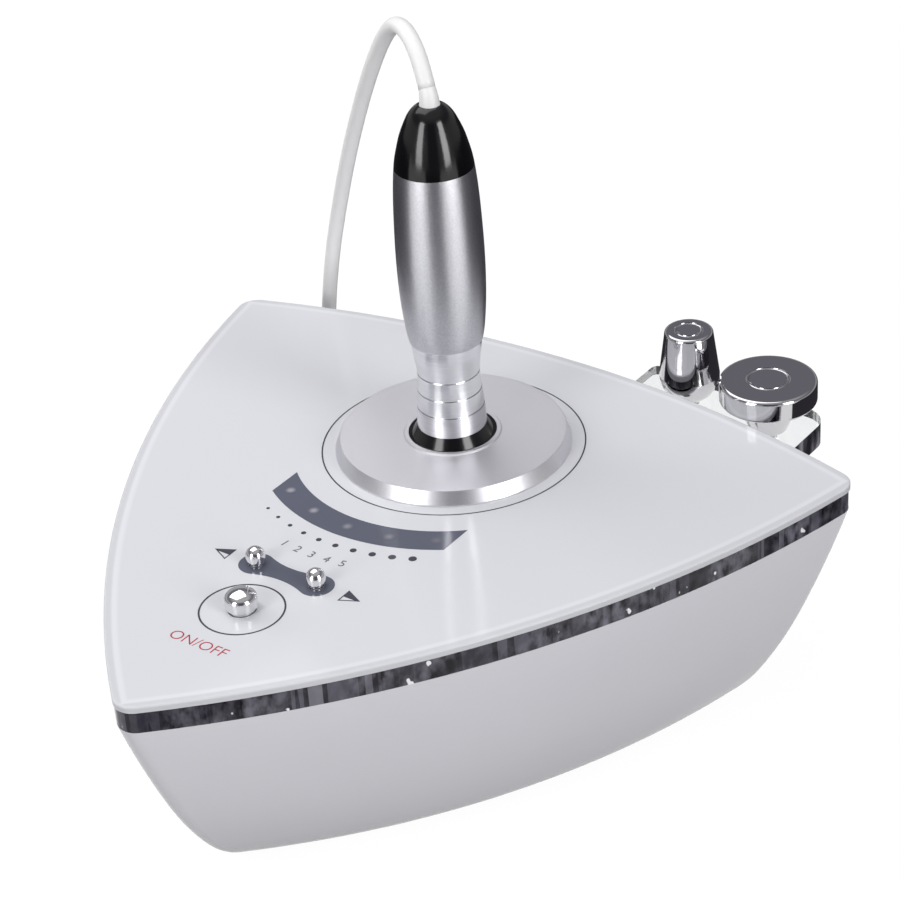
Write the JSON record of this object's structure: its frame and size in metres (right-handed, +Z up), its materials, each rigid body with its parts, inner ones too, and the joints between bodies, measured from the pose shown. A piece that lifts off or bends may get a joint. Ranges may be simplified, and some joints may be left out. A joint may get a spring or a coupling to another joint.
{
  "type": "radio-frequency facial device",
  "caption": "Three-sided tabletop facial device with a glossy top panel, an upright corded handpiece in a round dish, domed push buttons and spare treatment heads on a clear stand.",
  "frame": {"origin": "Middle of the footprint of the base and stand, on the surface that the feet stand on; the cord is left out of it.", "axes": "+Z is up, +Y points to the back where the stand and sockets are, and +X is to the right of a user who faces the front point."},
  "size_m": [0.2512, 0.3079, 0.2298],
  "materials": {
    "shell_white": "white moulded gloss plastic",
    "panel_gloss": "white back-printed clear panel, polished",
    "trim_chrome": "bright plated band",
    "deck_plastic": "grey moulded plastic",
    "dish_satin": "satin top with a polished bevel",
    "black_plastic": "black polished plastic",
    "button_chrome": "polished plating",
    "chip_black": "black moulded plastic",
    "board_green": "green solder mask",
    "light_lens": "clear lens",
    "screw_steel": "zinc-plated steel",
    "ferrite": "dark grey ferrite",
    "winding": "enamelled copper wire",
    "sink_aluminium": "plain aluminium",
    "capacitor_sleeve": "dark blue sleeve",
    "ribbon_grey": "grey insulation",
    "socket_nickel": "nickel plating",
    "stand_clear": "clear polished acrylic",
    "head_chrome": "polished plating",
    "handpiece_satin": "satin anodised aluminium",
    "stud_brass": "turned brass",
    "cord_white": "white soft cord jacket",
    "tie_fabric": "white woven band",
    "plug_white": "white moulded plug",
    "foot_rubber": "black rubber"
  },
  "bodies": {
    "root": {"lower_shell": "shell_white", "trim_band": "trim_chrome", "deck": "deck_plastic", "top_panel": "panel_gloss", "dish": "dish_satin", "holder_bush": "black_plastic", "bush_nut": "deck_plastic", "power_switch": "chip_black", "down_switch": "chip_black", "up_switch": "chip_black", "control_board": "board_green", "level_lights": "light_lens", "case_screws": "screw_steel", "board_screws": "screw_steel", "main_screws": "screw_steel", "stand_screws": "screw_steel", "main_board": "board_green", "transformer_core": "ferrite", "transformer_winding": "winding", "heat_sink": "sink_aluminium", "power_chip": "chip_black", "capacitors": "capacitor_sleeve", "ribbon_cable": "ribbon_grey", "output_jack": "socket_nickel", "jack_nut": "socket_nickel", "power_inlet": "black_plastic", "inlet_pin": "stud_brass", "inlet_nut": "socket_nickel", "tip_stand": "stand_clear", "front_foot": "foot_rubber", "left_foot": "foot_rubber", "right_foot": "foot_rubber", "cord_lead": "cord_white", "cord_coil": "cord_white", "cord_tail": "cord_white", "cord_tie": "tie_fabric", "cord_plug": "plug_white", "plug_boot": "cord_white"},
    "power_key": {"power_button": "button_chrome", "power_plunger": "chip_black"},
    "down_key": {"down_button": "button_chrome", "down_plunger": "chip_black"},
    "up_key": {"up_button": "button_chrome", "up_plunger": "chip_black"},
    "handpiece": {"neck": "handpiece_satin", "barrel": "handpiece_satin", "tail_cap": "black_plastic", "collar": "black_plastic", "head_stud": "stud_brass", "handpiece_lead": "ribbon_grey", "cord_boot": "cord_white"},
    "mounted_head": {"face_head": "head_chrome"},
    "spare_eye_head": {"eye_head": "head_chrome"},
    "spare_body_head": {"body_head": "head_chrome"}
  },
  "joints": [
    {"name": "power_press", "type": "slide", "parent": "root", "child": "power_key", "axis": [0, 0, -1], "range_m": [0, 0.0012], "stiffness_N_per_m": 400, "springref_m": -0.001},
    {"name": "down_press", "type": "slide", "parent": "root", "child": "down_key", "axis": [0, 0, -1], "range_m": [0, 0.0012], "stiffness_N_per_m": 400, "springref_m": -0.001},
    {"name": "up_press", "type": "slide", "parent": "root", "child": "up_key", "axis": [0, 0, -1], "range_m": [0, 0.0012], "stiffness_N_per_m": 400, "springref_m": -0.001},
    {"name": "handpiece_lift", "type": "slide", "parent": "root", "child": "handpiece", "axis": [0, 0, 1], "range_m": [0, 0.06], "deforming": ["cord_lead"]},
    {"name": "mounted_head_turn", "type": "hinge", "parent": "handpiece", "child": "mounted_head", "pos_m": [0, 0.03784, 0.08], "axis": [0, 0, 1], "continuous": true},
    {"name": "eye_head_lift", "type": "slide", "parent": "root", "child": "spare_eye_head", "axis": [0, 0, 1], "range_m": [0, 0.03]},
    {"name": "body_head_lift", "type": "slide", "parent": "root", "child": "spare_body_head", "axis": [0, 0, 1], "range_m": [0, 0.03]}
  ]
}
